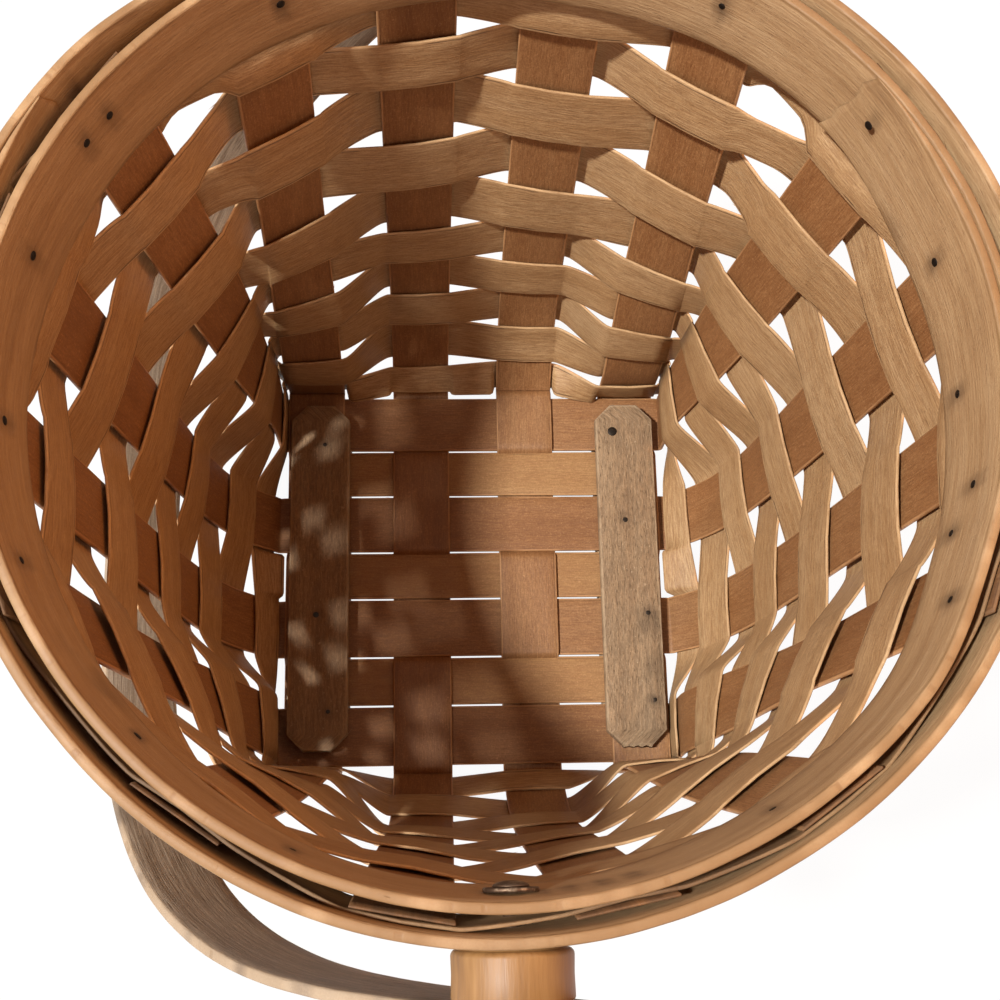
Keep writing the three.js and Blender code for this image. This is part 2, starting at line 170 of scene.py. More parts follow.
# An upright's middle, the way across it, the way up it and the way it faces, at a height
def uprightFrame(quarter, place, height):
    height = np.asarray(height, float)
    point = uprightPoint(quarter, place, height)
    step = 0.5 * mm
    rise = unit(uprightPoint(quarter, place, height + step) - uprightPoint(quarter, place, height - step))
    radial = unit(point * [1, 1, 0])
    flat = np.zeros_like(point)
    flat[..., 0], flat[..., 1] = sideOut[quarter]
    share = smooth(wall["squareHeight"], wall["roundHeight"], height)[..., None]
    outward = unit(flat * (1 - share) + radial * share)
    across = np.cross([0, 0, 1], outward)
    across = unit(across - rise * np.sum(rise * across, -1, keepdims=True))
    return point, across, rise, np.cross(across, rise)


climbHeights = np.linspace(0, wall["height"], 501)
climbs = {place: pathLengths(uprightPoint(0, place, climbHeights)) for place in places}
wallLength = climbs[places[1]][-1]


# The height at a path length up the wall, where the length is measured on the middle uprights
def heightAt(place, level):
    return np.interp(np.asarray(level) / wallLength * climbs[place][-1], climbs[place], climbHeights)


rowWidths = [wall["footWidth"]]
rowWidths += [wall["lowerWidth"]] * wall["lowerRows"] + [wall["wideWidth"]] * wall["wideRows"]
usedClimb = wall["footClimb"] + wall["footGap"] + sum(rowWidths) + (len(rowWidths) - 1) * wall["rowGap"]
rowWidths += [(wallLength - usedClimb) / wall["upperRows"] - wall["rowGap"]] * wall["upperRows"]
rowLevels = []
climbed = wall["footClimb"]
for rowWidth in rowWidths:
    rowLevels.append((climbed, climbed + rowWidth))
    climbed += rowWidth + (wall["rowGap"] if len(rowLevels) > 1 else wall["footGap"])
rowLevels[-2] = (rowLevels[-2][0] + wall["lastRise"], rowLevels[-2][1])


class Wire:
    # a node's output that turns sums on it into Math nodes
    def __init__(self, graph, socket):
        self.graph = graph
        self.socket = socket

    def __add__(self, other):
        return self.graph.sum("ADD", self, other)

    __radd__ = __add__

    def __sub__(self, other):
        return self.graph.sum("SUBTRACT", self, other)

    def __rsub__(self, other):
        return self.graph.sum("SUBTRACT", other, self)

    def __mul__(self, other):
        return self.graph.sum("MULTIPLY", self, other)

    __rmul__ = __mul__

    def __truediv__(self, other):
        return self.graph.sum("DIVIDE", self, other)

    def beside(self, output):
        return Wire(self.graph, self.socket.node.outputs[output])


class Graph:
    # builds the nodes of a material or of a Geometry Nodes tree
    def __init__(self, tree):
        self.tree = tree

    def plug(self, socket, value):
        if isinstance(value, Wire):
            self.tree.links.new(value.socket, socket)
        elif isinstance(value, tuple) and len(value) == 3 and socket.type == "RGBA":
            socket.default_value = (*value, 1)
        else:
            socket.default_value = value

    def add(self, kind, settings=None, sockets=None, output=0):
        node = self.tree.nodes.new(kind)
        for name, value in (settings or {}).items():
            setattr(node, name, value)
        for name, value in (sockets or {}).items():
            self.plug(node.inputs[name], value)
        return Wire(self, node.outputs[output]) if node.outputs else None

    def sum(self, operation, first, second=0.0):
        return self.add("ShaderNodeMath", {"operation": operation}, {0: first, 1: second})

    def between(self, value, low, high, start=0.0, end=1.0):
        sockets = {"Value": value, "From Min": low, "From Max": high, "To Min": start, "To Max": end}
        return self.add("ShaderNodeMapRange", {"interpolation_type": "SMOOTHSTEP"}, sockets)

    def mix(self, share, first, second):
        return self.add("ShaderNodeMix", {"data_type": "RGBA"}, {0: share, 6: first, 7: second}, 2)

    def vectors(self, operation, first, second):
        sockets = {0: first, "Scale" if operation == "SCALE" else 1: second}
        return self.add("ShaderNodeVectorMath", {"operation": operation}, sockets)

    def noise(self, vector, factors, detail=2, roughness=0.5, distortion=0.0):
        sockets = {"Vector": self.vectors("MULTIPLY", vector, factors), "Scale": 1.0, "Detail": detail}
        sockets.update({"Roughness": roughness, "Distortion": distortion})
        return self.add("ShaderNodeTexNoise", {"noise_dimensions": "3D"}, sockets, "Fac")

    def apart(self, vector, part):
        return self.add("ShaderNodeSeparateXYZ", None, {0: vector}, part)

    def ramp(self, share, stops):
        wire = self.add("ShaderNodeValToRGB", None, {"Fac": share})
        elements = wire.socket.node.color_ramp.elements
        while len(elements) < len(stops):
            elements.new(0.5)
        for element, (place, colour) in zip(elements, stops):
            element.position = place
            element.color = (*colour, 1)
        return wire

    def bump(self, height, strength, distance):
        sockets = {"Strength": strength, "Distance": distance, "Height": height}
        return self.add("ShaderNodeBump", None, sockets, "Normal")

    def coat(self, colour, rough, bump, extra=None):
        sockets = {"Base Color": colour, "Roughness": rough, "Normal": bump, **(extra or {})}
        shader = self.add("ShaderNodeBsdfPrincipled", None, sockets)
        self.add("ShaderNodeOutputMaterial", None, {"Surface": shader})

    def field(self, name, kind="FLOAT"):
        return self.add("GeometryNodeInputNamedAttribute", {"data_type": kind}, {"Name": name}, "Attribute")

    def random(self, low, high, seed):
        sockets = {2: low, 3: high, "Seed": seed}
        return self.add("FunctionNodeRandomValue", {"data_type": "FLOAT"}, sockets, 1)

    def moved(self, geometry, offset, selected=True):
        sockets = {"Geometry": geometry, "Selection": selected, "Offset": offset}
        return self.add("GeometryNodeSetPosition", None, sockets)

    def smoothed(self, geometry):
        return self.add("GeometryNodeSetShadeSmooth", None, {"Geometry": geometry, "Shade Smooth": True})

    def joined(self, first, second):
        both = self.add("GeometryNodeJoinGeometry", None, {0: first})
        self.plug(both.socket.node.inputs[0], second)
        return both

    # Puts a copy of a shape on each point, with its Z turned to a vector and its three sizes
    def scattered(self, points, shape, vector, sizes):
        turned = self.add("FunctionNodeAlignRotationToVector", {"axis": "Z"}, {"Vector": vector})
        scale = self.add("ShaderNodeCombineXYZ", None, dict(enumerate(sizes)))
        sockets = {"Points": points, "Instance": shape, "Rotation": turned, "Scale": scale}
        return self.add("GeometryNodeInstanceOnPoints", None, sockets)


def newMaterial(name):
    material = bpy.data.materials.new(name)
    material.use_nodes = True
    material.node_tree.nodes.clear()
    return material, Graph(material.node_tree)


# How fine the wood's figure is, in waves to the metre along a strip and across it. The third factor and the
# shifts set the strips apart by their numbers. The last three run through space, however a strip lies
figure = {
    "bands": (9, 170, 31.7),
    "fibreShift": 53.3,
    "fineShift": 71.9,
    "ragged": (45, 0, 91.3),
    "clouds": (16, 16, 16),
    "specks": (520, 520, 520),
    "grit": (1500, 1500, 1500),
}
reliefDepth = 0.6 * mm


# Wood that was split or bent along its grain. The attribute grain holds the way along the strip, the way
# across it and the strip's number; the other attribute holds the distance to the nearest edge, the tone, and
# the stain together with the painted shade between the hoops
def splintWood(name, look):
    material, g = newMaterial(name)
    grain = g.add("ShaderNodeAttribute", {"attribute_name": "grain"}, output="Vector")
    edgeToneStainShade = g.add("ShaderNodeAttribute", {"attribute_name": "edgeToneStainShade"}, output="Vector")
    place = g.add("ShaderNodeTexCoord", output="Object")
    edge, tone, stainAndShade = (g.apart(edgeToneStainShade, part) for part in "XYZ")
    length, width, edgeWidth = look["fibreLength"], look["fibreWidth"], look["edgeWidth"]
    bands = g.noise(grain, figure["bands"], 3, 0.55)
    fibres = g.noise(grain, (length, width, figure["fibreShift"]), 3, 0.62, 0.25)
    fine = g.noise(grain, (length * 2.6, width * 2.4, figure["fineShift"]), 2, 0.6)
    ragged = g.noise(grain, figure["ragged"], 2, 0.6)
    clouds = g.noise(place, figure["clouds"], 3, 0.55)
    specks = g.noise(place, figure["specks"], 2, 0.5)
    grit = g.noise(place, figure["grit"], 2, 0.6)
    body = tone + (bands - 0.5) * look["bandDepth"] + (clouds - 0.5) * look["cloudDepth"]
    colour = g.ramp(body, [(0.0, look["dark"]), (0.42, look["mid"]), (1.0, look["pale"])])
    pores = g.between(fine, 0.4, 0.3) * look["pores"]
    # dirt: cloudy dirt and stains, and with them the painted shade between the hoops
    dirt = g.between(clouds, 0.6, 0.75) * look["dirt"] + stainAndShade * g.between(bands, 0.25, 0.6, 0.6, 1.3)
    # the edges are painted paler, partly for pale cut wood and partly as a painted highlight where the top
    # edges catch light from above
    rim = g.between(edge, edgeWidth, edgeWidth * 0.45) * g.between(ragged, 0.3, 0.55)
    # a dark line just inside the edges: partly a split in the wood, partly painted shade for the dark gaps
    # where splints overlap
    splitLineAndShade = g.between(edge - edgeWidth * 1.35, 0.28 * mm, 0.0) * g.between(edge, edgeWidth, edgeWidth * 1.2)
    splitLineAndShade = splitLineAndShade * g.between(ragged, 0.47, 0.56) * look["splitLineAndShade"]
    layers = (
        ((1 - g.between(fibres, 0.36, 0.66)) * look["fibreDepth"], "shadow"),
        (g.between(fine, 0.56, 0.74) * look["sheen"], "edge"),
        (pores, "shadow"),
        (g.between(specks, 0.68, 0.76) * look["dust"], "edge"),
        (g.between(grit, 0.56, 0.4) * look["grit"], "shadow"),
        (g.between(grit, 0.6, 0.72) * look["grit"], "edge"),
        (dirt, "grimeAndShade"),
        (splitLineAndShade, "grimeAndShade"),
        (rim * (1 - stainAndShade) * look["edgeShare"], "edge"),
    )
    for share, layer in layers:
        colour = g.mix(share, colour, look[layer])
    relief = fibres * 0.6 + fine * 0.4 - splitLineAndShade * 0.6 - pores * 0.3
    rough = look["roughness"] + (fibres - 0.5) * 0.25 + dirt * 0.1
    bump = g.bump(relief, look["relief"], reliefDepth)
    g.coat(colour, rough, bump, {"Specular IOR Level": look["gloss"]})
    return material


weaverLook = {
    "dark": (0.2, 0.09, 0.03),
    "mid": (0.375, 0.228, 0.107),
    "pale": (0.5, 0.35, 0.195),
    "shadow": (0.17, 0.075, 0.026),
    # pale colour of cut edges, dust and grit, also used for the painted highlight on the top edges and in
    # the sheen
    "edge": (0.52, 0.34, 0.18),
    # dark colour of dirt and stains, also of the painted shade between the hoops and along the split lines
    "grimeAndShade": (0.06, 0.028, 0.012),
    "fibreLength": 150,
    "fibreWidth": 1900,
    "fibreDepth": 0.55,
    "bandDepth": 0.7,
    "cloudDepth": 0.6,
    "sheen": 0.35,
    "pores": 0.5,
    "dust": 0.25,
    "grit": 0.15,
    "dirt": 0.16,
    "edgeWidth": 0.0008,
    "edgeShare": 0.47,
    "splitLineAndShade": 0.8,
    "relief": 0.55,
    "roughness": 0.55,
    "gloss": 0.35,
}
stakeLook = dict(
    weaverLook,
    dark=(0.13, 0.05, 0.015),
    mid=(0.245, 0.112, 0.041),
    pale=(0.34, 0.188, 0.082),
    shadow=(0.11, 0.035, 0.01),
    edge=(0.5, 0.28, 0.13),
    fibreDepth=0.4,
    sheen=0.25,
    grit=0.25,
    bandDepth=0.55,
    edgeShare=0.55,
    splitLineAndShade=0.4,
    relief=0.4,
)
baseLook = dict(
    stakeLook,
    dark=(0.13, 0.05, 0.014),
    mid=(0.285, 0.143, 0.052),
    pale=(0.38, 0.225, 0.094),
    shadow=(0.16, 0.062, 0.02),
    dust=0.4,
)
hoopLook = dict(
    weaverLook,
    dark=(0.16, 0.085, 0.038),
    mid=(0.355, 0.23, 0.118),
    pale=(0.47, 0.335, 0.195),
    # painted shade: the hoops' edges are painted darker than their faces, for the dim light on the near
    # rim's top edges
    edge=(0.19, 0.105, 0.043),
    fibreLength=90,
    fibreWidth=1500,
    fibreDepth=0.35,
    bandDepth=0.85,
    grit=0.1,
    dirt=0.5,
    edgeWidth=0.0018,
    edgeShare=0.8,
    splitLineAndShade=0.0,
    dust=0.1,
)
runnerLook = dict(
    weaverLook,
    dark=(0.09, 0.052, 0.026),
    mid=(0.25, 0.152, 0.08),
    pale=(0.37, 0.26, 0.155),
    shadow=(0.09, 0.052, 0.026),
    edge=(0.5, 0.38, 0.25),
    grimeAndShade=(0.035, 0.022, 0.013),
    fibreLength=150,
    fibreWidth=1000,
    fibreDepth=0.5,
    sheen=0.35,
    pores=0.75,
    dust=0.4,
    dirt=0.55,
    edgeWidth=0.0012,
    edgeShare=0.35,
    splitLineAndShade=0.0,
    relief=0.9,
    roughness=0.72,
)
handleLook = dict(
    runnerLook,
    dark=(0.11, 0.085, 0.062),
    mid=(0.25, 0.2, 0.15),
    pale=(0.37, 0.31, 0.24),
    fibreLength=45,
    fibreWidth=800,
    dust=0.15,
    relief=0.6,
    roughness=0.6,
)
materials = {
    "weaver": splintWood("weaverSplint", weaverLook),
    "stake": splintWood("stakeSplint", stakeLook),
    "base": splintWood("baseSplint", baseLook),
    "hoop": splintWood("bentHoop", hoopLook),
    "runner": splintWood("wornRunner", runnerLook),
    "handle": splintWood("wornHandle", handleLook),
}
print("wood mixed:", len(materials), "kinds")


def treeWith(name, sockets):
    tree = bpy.data.node_groups.new(name, "GeometryNodeTree")
    tree.interface.new_socket("Geometry", in_out="INPUT", socket_type="NodeSocketGeometry")
    tree.interface.new_socket("Geometry", in_out="OUTPUT", socket_type="NodeSocketGeometry")
    for label, (kind, value) in sockets.items():
        socket = tree.interface.new_socket(label, in_out="INPUT", socket_type="NodeSocket" + kind)
        if value is not None:
            socket.default_value = value
    g = Graph(tree)
    entry = tree.nodes.new("NodeGroupInput")
    wires = {socket.name: Wire(g, socket) for socket in entry.outputs if socket.name}
    return tree, g, wires


# Ends a tree: its copies become plain faces, with one material
def closeTree(g, geometry, material):
    whole = g.add("GeometryNodeRealizeInstances", None, {0: geometry})
    whole = g.add("GeometryNodeSetMaterial", None, {"Geometry": whole, "Material": material})
    exitNode = g.tree.nodes.new("NodeGroupOutput")
    g.plug(exitNode.inputs[0], whole)


sliverShape = {
    "Vertices": 3,
    "Side Segments": 2,
    "Radius Top": 0.02 * mm,
    "Radius Bottom": 0.16 * mm,
    "Depth": 1.0,
}
sliverTilt = 0.22


# One splint: its middle sheet swings in and out past the stakes, gets its thickness with eased edges, and
# throws a few splinters off its edges
def splintTree():
    sockets = {
        "Swing": ("Float", 0.0),
        "Softness": ("Float", 0.3),
        "Thickness": ("Float", 1.1 * mm),
        "Edge ease": ("Float", 0.8),
        "Ripple": ("Float", 0.15 * mm),
        "Waver": ("Float", 0.3 * mm),
        "Splinter share": ("Float", 0.02),
        "Splinter length": ("Float", 4 * mm),
        "Seed": ("Int", 1),
        "Material": ("Material", None),
    }
    tree, g, inputs = treeWith("wovenSplint", sockets)
    lie, run, grain = (g.field(name, "FLOAT_VECTOR") for name in ("lie", "run", "grain"))
    rim = g.field("rim")
    turn = g.sum("PINGPONG", g.field("passage"), 1.0)
    eased = turn * turn * (3 - 2 * turn)
    beat = 1 - 2 * (turn * (1 - inputs["Softness"]) + eased * inputs["Softness"])
    lumps = g.noise(grain, (38, 60, 17.3), 2) - 0.5
    lean = g.noise(grain, (22, 0, 29.1), 1) - 0.5
    swing = inputs["Swing"] * g.field("slack")
    lift = beat * swing + g.field("tuck") + lumps * 2 * inputs["Ripple"]
    toLie = g.vectors("SCALE", lie, lift)
    toUp = g.vectors("SCALE", g.vectors("CROSS_PRODUCT", lie, run), lean * 2 * inputs["Waver"])
    sheet = g.moved(inputs["Geometry"], g.vectors("ADD", toLie, toUp))
    ease = inputs["Edge ease"] * rim * rim
    half = inputs["Thickness"] / 2 * g.field("skive") * g.sum("SQRT", 1 - ease)
    outward = g.vectors("SCALE", lie, half)
    inward = g.vectors("SCALE", lie, half * -1)
    drawnOut = {"Mesh": sheet, "Offset Scale": 0.0, "Individual": False}
    front = g.add("GeometryNodeExtrudeMesh", {"mode": "FACES"}, drawnOut)
    top = front.beside("Top")
    notTop = g.add("FunctionNodeBooleanMath", {"operation": "NOT"}, {0: top})
    front = g.moved(g.moved(front, outward, top), inward, notTop)
    back = g.add("GeometryNodeFlipFaces", None, {0: g.moved(sheet, inward)})
    merged = {"Geometry": g.joined(front, back), "Distance": 1e-6}
    body = g.smoothed(g.add("GeometryNodeMergeByDistance", None, merged))
    atRim = g.add("FunctionNodeCompare", {"operation": "GREATER_THAN"}, {0: rim, 1: 0.99})
    draw = {"Probability": inputs["Splinter share"], "Seed": inputs["Seed"]}
    chosen = g.add("FunctionNodeRandomValue", {"data_type": "BOOLEAN"}, draw, 3)
    both = g.add("FunctionNodeBooleanMath", {"operation": "AND"}, {0: atRim, 1: chosen})
    points = g.add("GeometryNodeMeshToPoints", None, {"Mesh": sheet, "Selection": both})
    sliver = g.add("GeometryNodeMeshCone", None, sliverShape)
    spread = {"Min": (-sliverTilt,) * 3, "Max": (sliverTilt,) * 3, "Seed": inputs["Seed"]}
    tilt = g.add("FunctionNodeRandomValue", {"data_type": "FLOAT_VECTOR"}, spread)
    length = g.random(inputs["Splinter length"] * 0.35, inputs["Splinter length"], inputs["Seed"])
    slivers = g.scattered(points, sliver, g.vectors("ADD", run, tilt), (1.0, 1.0, length))
    closeTree(g, g.joined(body, slivers), inputs["Material"])
    return tree


# Round nail heads on marked points, each a little different
def nailTree():
    sockets = {
        "Radius": ("Float", 1.3 * mm),
        "Height": ("Float", 0.5 * mm),
        "Unevenness": ("Float", 0.2),
        "Seed": ("Int", 1),
        "Material": ("Material", None),
    }
    tree, g, inputs = treeWith("nailHeads", sockets)
    head = g.smoothed(g.add("GeometryNodeMeshUVSphere", None, {"Segments": 14, "Rings": 8, "Radius": 1.0}))
    points = g.add("GeometryNodeMeshToPoints", None, {"Mesh": inputs["Geometry"]})
    wide = g.random(1 - inputs["Unevenness"], 1 + inputs["Unevenness"], inputs["Seed"])
    across = inputs["Radius"] * wide
    lie = g.field("lie", "FLOAT_VECTOR")
    closeTree(g, g.scattered(points, head, lie, (across, across, inputs["Height"])), inputs["Material"])
    return tree


wovenSplint = splintTree()
nailHeads = nailTree()


def meshFrom(name, points, faces, attributes):
    mesh = bpy.data.meshes.new(name)
    mesh.from_pydata(points.reshape(-1, 3).tolist(), [], faces)
    for label, values in attributes.items():
        isVector = values.shape[-1] == 3 and values.size == points.size
        layer = mesh.attributes.new(label, "FLOAT_VECTOR" if isVector else "FLOAT", "POINT")
        layer.data.foreach_set("vector" if isVector else "value", values.astype(np.float32).ravel())
    return mesh


# Puts a mesh into the scene as a piece of a body, in place of the solids that it shows
def pieceFrom(name, mesh, body, slot, replaced):
    piece = bpy.data.objects.new(name, mesh)
    mesh.name = name
    scene.collection.objects.link(piece)
    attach(piece, body)
    if replaced:
        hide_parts(*replaced)


# Runs a tree on a mesh with the given named inputs and makes a piece of the plain result
def grown(name, mesh, tree, values, body, slot, replaced=()):
    source = bpy.data.objects.new(name + "Source", mesh)
    scene.collection.objects.link(source)
    modifier = source.modifiers.new(tree.name, "NODES")
    modifier.node_group = tree
    for item in tree.interface.items_tree:
        if item.item_type == "SOCKET" and item.in_out == "INPUT" and item.name in values:
            modifier[item.identifier] = values[item.name]
    bpy.context.view_layer.update()
    evaluated = source.evaluated_get(bpy.context.evaluated_depsgraph_get())
    result = bpy.data.meshes.new_from_object(evaluated)
    source.modifiers.remove(modifier)
    bpy.data.objects.remove(source)
    pieceFrom(name, result, body, slot, replaced)


columns = np.array([-1, -0.985, -0.96, -0.62, -0.3, 0, 0.3, 0.62, 0.96, 0.985, 1])
wide = len(columns)
rimColumn = 0.96
endEase = 0.6 * mm


# A strip through a grid of points on its middle sheet, with stations along it and the columns across it. The
# extra attributes are arrays, or functions that change what is there
def strip(name, node, points, look, values, seed, tone, slot=None, body="basket", closed=True, extra=None):
    stations = len(points)
    runStep = np.gradient(points, axis=0)
    acrossStep = np.gradient(points, axis=1)
    along = pathLengths(points[:, wide // 2])
    acrossLengths = np.linalg.norm(np.diff(points, axis=1), axis=2)
    across = np.concatenate([np.zeros((stations, 1)), np.cumsum(acrossLengths, axis=1)], axis=1)
    edge = np.minimum(across, across[:, -1:] - across)
    rimShare = np.clip((np.abs(columns) - rimColumn) / (1 - rimColumn), 0, 1)[None, :] + 0 * across
    if closed:
        toEnd = np.minimum(along, along[-1] - along)[:, None] + 0 * across
        edge = np.minimum(edge, toEnd)
        rimShare = np.maximum(rimShare, np.clip(1 - toEnd / endEase, 0, 1))
    flat = {
        "lie": unit(np.cross(runStep, acrossStep)),
        "run": unit(runStep),
        "grain": np.stack([np.repeat(along[:, None], wide, 1), across, np.full_like(across, seed)], -1),
        "rim": rimShare,
        "skive": np.ones_like(across),
        "passage": np.full_like(across, 0.5),
        "tuck": np.zeros_like(across),
        "slack": np.ones_like(across),
        "edgeToneStainShade": np.stack([edge, np.full_like(edge, tone), np.zeros_like(edge)], -1),
    }
    for label, change in (extra or {}).items():
        flat[label] = change(flat[label]) if callable(change) else change
    corners = [i * wide + k for i in range(stations - 1) for k in range(wide - 1)]
    faces = [(corner, corner + wide, corner + wide + 1, corner + 1) for corner in corners]
    mesh = meshFrom(name, points, faces, flat)
    values = dict(values, Seed=seed * 7 + 3, Material=materials[look])
    grown(name, mesh, wovenSplint, values, body, slot or look, [node])


rim = {
    "radius": 144 * mm,
    "thickness": 2.9 * mm,
    "height": 33 * mm,
    "overWall": 5 * mm,
    "swing": 1.3 * mm,  # the splints are pressed together between the hoops
    "pressed": 0.75,
    "innerStart": 40,
    "outerStart": 205,
    "lap": 61,
    "lapRun": 20,
    "endGap": 3,
    "endRun": 45 * mm,
    "endShare": 0.08,
    "gap": 0.2 * mm,
    "heldRun": (9 * mm, 1 * mm),  # from where to where below the hoops the weave tightens
    # how far below the hoops the stakes start to thin
    "pressRun": 12 * mm,
    # painted shade: how dark the splints' tops are painted between the hoops, and over what heights below
    # the rim it comes in
    "gapShade": 0.75,
    "gapShadeRun": (16 * mm, 7 * mm),
    "wave": 0.3 * mm,
    "smallWave": 0.18 * mm,
    "sag": 0.4 * mm,
    "trimmed": 1.2 * mm,  # the inner hoop's low edge isn't even: it is shaved off most at the corners
    "shaved": {50: 3.5 * mm, 132: 2.5 * mm, -36: 3.5 * mm},
    "shavedReach": 34,
}
rim["slope"] = math.atan(wall["flare"])
rim["lowEdge"] = wallLength - (rim["height"] - rim["overWall"])
rim["innerFace"] = wall["topRadius"] - rim["swing"] - splint["weaverThickness"] / 2 - rim["gap"]

weaver = {
    "stepsOnStake": 4,
    "stepsBetween": 11,
    "ripple": 0.16 * mm,
    "waver": 0.35 * mm,
    "bow": 0.45 * mm,
    "lapTuck": 1.5 * mm,
    "lapStart": 0.2,
    "lapEnd": 0.85,
    "swings": [1.9, 1.9, 1.8, 1.8, 2.0, 2.4, 2.8, 2.9, 2.8, 2.5, 1.3],  # in mm, looser in the middle rows
    "cornerSlack": 1.3,
    "restingGaps": [1, 4, 5, 6, 9],  # where the lowest row's foot lies against the base
    "footTuck": 4.8 * mm,
    "footHold": 0.9,
    "nearSlack": 0.72,
    "pinchRun": 0.36,
    # how much narrower the upper rows run in some gaps, and in each of these rows the column that stays
    # where it is and a factor
    "pinches": {3: 0.17, 7: 0.12, 15: 0.2, 8: -0.05, 9: -0.05, 10: -0.05, 12: -0.05, 13: -0.05, 14: -0.05},
    "pinched": {7: (5, 1), 8: (5, 1), 9: (10, 2.5)},
    "softness": 0.65,
    "splinterShare": 0.018,
    "splinterLength": 4.5 * mm,
    "tones": [0.52, 0.5, 0.56, 0.48, 0.57, 0.52, 0.6, 0.5, 0.58, 0.55, 0.6],
    "starts": [3, 8, 13, 2, 7, 12, 1, 10, 5, 14, 9],
}


# The middle sheet of one row. It starts outside a stake, goes once round and laps over its own start there
def weaverSheet(row):
    low, high = rowLevels[row]
    levels = low + (columns + 1) / 2 * (high - low)
    posts = [uprightFrame(way, place, heightAt(place, levels)) for way in range(4) for place in places]
    frames, looseness = [], []
    for crossing, post in enumerate(posts):
        point, face = post[0], post[3]
        along = unit(posts[(crossing + 1) % uprights][0] - posts[crossing - 1][0])
        frames.append((point, unit(along - face * np.sum(along * face, -1, keepdims=True))))
        slack = weaver["cornerSlack"] if row > wall["lowerRows"] and crossing % 4 in (0, 3) else 1
        looseness.append(slack * weaver["nearSlack"] if crossing >= uprights - 4 else slack)
    start = weaver["starts"][row]
    if (start + row + 1) % 2:
        start += 1
    last = start + uprights
    half = splint["plateauHalf"]
    made = []
    for crossing in range(start, last + 1):
        here, after = crossing % uprights, (crossing + 1) % uprights
        point, across = frames[here]
        nextPoint, nextAcross = frames[after]
        side = math.cos(math.pi * (crossing + row + 1))
        shares = np.arange(weaver["stepsOnStake"]) / weaver["stepsOnStake"]
        if crossing == start:
            shares = shares[1:]
        if crossing == last:
            shares = np.append(shares, weaver["lapEnd"])
        for share in shares:
            bow = side * weaver["bow"] * math.sin(math.pi * share) ** 2
            lap = side if crossing == last else 0
            spot = point + across * (2 * share - 1) * half
            made.append((spot, crossing + row + 1, bow, lap, looseness[here], 0))
        if crossing == last:
            break
        leave = point + across * half
        enter = nextPoint - nextAcross * half
        reach = splint["bendShare"] * np.linalg.norm(enter - leave, axis=1, keepdims=True)
        for step in range(weaver["stepsBetween"] + 1):
            t = step / (weaver["stepsBetween"] + 1)
            bend = bezier(leave, leave + across * reach, enter - nextAcross * reach, enter, t)
            if row in weaver["pinched"]:
                column, factor = weaver["pinched"][row]
                ease = float(smooth(0, weaver["pinchRun"], min(t, 1 - t)))
                pinch = weaver["pinches"].get(here, 0) * ease * factor
                bend = bend[column] + (bend - bend[column]) * (1 - pinch)
            lap = float(smooth(weaver["lapStart"], 1, t)) if crossing == last - 1 else 0
            slack = looseness[here] * (1 - t) + looseness[after] * t
            resting = row == 0 and here in weaver["restingGaps"]
            foot = min(1, 3 * math.sin(math.pi * t)) if resting else 0
            made.append((bend, crossing + row + 1 + t, 0, lap, slack, foot))
    stations, passages, bows, laps, slacks, feet = (np.array(part, float) for part in zip(*made))
    passage = np.repeat(passages[:, None], wide, 1)
    foot = feet[:, None] * (1 - columns) / 2
    tuck = (bows + laps * weaver["lapTuck"])[:, None] - foot * weaver["footTuck"]
    heldFrom, heldTo = rim["heldRun"]
    held = smooth(rim["lowEdge"] - heldFrom, rim["lowEdge"] - heldTo, levels)
    slack = slacks[:, None] * (1 - held) + held * rim["swing"] / (weaver["swings"][row] * mm)
    return stations, passage, tuck, slack * (1 - weaver["footHold"] * foot)


# Painted shade: the tops of the splints between the hoops are painted darker, for the shade in the gap
# between the hoops
def gapShaded(sheet):
    def change(edgeToneStainShade):
        edgeToneStainShade = edgeToneStainShade.copy()
        low, high = (rimLevel - reach for reach in rim["gapShadeRun"])
        edgeToneStainShade[..., 2] = rim["gapShade"] * smooth(low, high, sheet[..., 2])
        return edgeToneStainShade

    return change


weaverValues = {
    "Softness": weaver["softness"],
    "Thickness": splint["weaverThickness"],
    "Edge ease": 0.75,
    "Ripple": weaver["ripple"],
    "Waver": weaver["waver"],
    "Splinter share": weaver["splinterShare"],
    "Splinter length": weaver["splinterLength"],
}
for row in range(len(rowLevels)):
    sheet, passage, tuck, slack = weaverSheet(row)
    number = f"{row + 1:02d}"
    values = dict(weaverValues, Swing=weaver["swings"][row] * mm)
    extra = {"passage": passage, "tuck": tuck, "slack": slack, "edgeToneStainShade": gapShaded(sheet)}
    name, node = "weaverRow" + number, "weaver_row_" + number
    strip(name, node, sheet, "weaver", values, row + 1, weaver["tones"][row], extra=extra)
print("weavers woven:", len(rowLevels))

stake = {
    "floorStep": 3 * mm,
    "crossRun": 2.3 * mm,
    "ripple": 0.12 * mm,
    "pattern": [-1, -1, 1, 1, -1, -1, 1],
    "tones": [0.45, 0.35, 0.55, 0.5, 0.42, 0.52, 0.4, 0.48],
    "rub": 0.04,
    "rubRun": (5 * mm, 45 * mm),
    "slit": 2.2 * mm,
    "overhang": 0.6 * mm,
    "kneeSteps": 9,
}
baseHalf = 1.5 * splint["pitch"] + splint["stakeWidth"] / 2
baseEdge = baseHalf + stake["overhang"]
slits = []
for place in places[:-1]:
    beside = (splint["stakeWidth"] + stake["slit"]) / 2
    slits += [place + beside, place + splint["pitch"] - beside]


